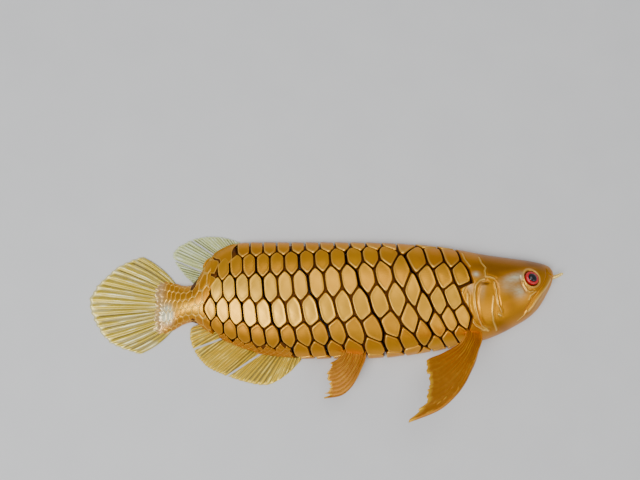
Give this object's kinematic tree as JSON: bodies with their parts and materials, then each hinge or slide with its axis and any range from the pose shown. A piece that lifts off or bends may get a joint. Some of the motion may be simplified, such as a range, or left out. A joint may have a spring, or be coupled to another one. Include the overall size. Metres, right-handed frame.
{
  "type": "articulated printed arowana half-figure",
  "caption": "Flat-backed half of a gold printed arowana: raised scales, hinged body links, ribbed fins, a red-ringed eye and a short chin barbel.",
  "frame": {"origin": "on the flat back, under the middle of the bounding box", "axes": "+X towards the head, +Y towards the back (dorsal) edge, +Z out of the flat back, up through the scaled flank"},
  "size_m": [0.2286, 0.0796, 0.0388],
  "materials": {
    "gold_print": "silky gold printed plastic with fine layer lines",
    "amber_gold_print": "deeper amber gold, silky, slightly see-through",
    "pale_gold_print": "thin olive gold print, silky",
    "clear_pale_print": "thin pale greenish print, slightly see-through",
    "red_print": "glossy red",
    "black_gloss": "glossy black"
  },
  "bodies": {
    "tail": {"tail_base": "gold_print", "caudal_fin": "pale_gold_print", "dorsal_fin_rear": "clear_pale_print", "anal_fin_rear": "pale_gold_print"},
    "link_1": {"link_1": "gold_print", "dorsal_fin_middle": "clear_pale_print", "anal_fin_middle": "pale_gold_print"},
    "link_2": {"link_2": "gold_print", "dorsal_fin_front": "clear_pale_print", "anal_fin_front": "pale_gold_print"},
    "link_3": {"link_3": "gold_print"},
    "link_4": {"link_4": "gold_print", "pelvic_fin": "amber_gold_print"},
    "link_5": {"link_5": "gold_print"},
    "front": {"shoulder": "gold_print", "head": "gold_print", "eye_ring": "red_print", "pupil": "black_gloss", "barbel": "pale_gold_print", "pectoral_fin": "amber_gold_print"}
  },
  "joints": [
    {"name": "link_5_hinge", "type": "hinge", "parent": "front", "child": "link_5", "pos_m": [0.05148, 0.00802, 0.0022], "axis": [0, 1, 0], "range_deg": [-6, 3.5]},
    {"name": "link_4_hinge", "type": "hinge", "parent": "link_5", "child": "link_4", "pos_m": [0.02363, 0.00751, 0.0022], "axis": [0, 1, 0], "range_deg": [-6, 3.5]},
    {"name": "link_3_hinge", "type": "hinge", "parent": "link_4", "child": "link_3", "pos_m": [-0.00055, 0.00748, 0.0022], "axis": [0, 1, 0], "range_deg": [-6, 3.5]},
    {"name": "link_2_hinge", "type": "hinge", "parent": "link_3", "child": "link_2", "pos_m": [-0.02242, 0.00802, 0.0022], "axis": [0, 1, 0], "range_deg": [-6, 3.5]},
    {"name": "link_1_hinge", "type": "hinge", "parent": "link_2", "child": "link_1", "pos_m": [-0.03572, 0.00969, 0.0022], "axis": [0, 1, 0], "range_deg": [-6, 3.5]},
    {"name": "tail_hinge", "type": "hinge", "parent": "link_1", "child": "tail", "pos_m": [-0.048, 0.01048, 0.0022], "axis": [0, 1, 0], "range_deg": [-6, 3.5]}
  ]
}
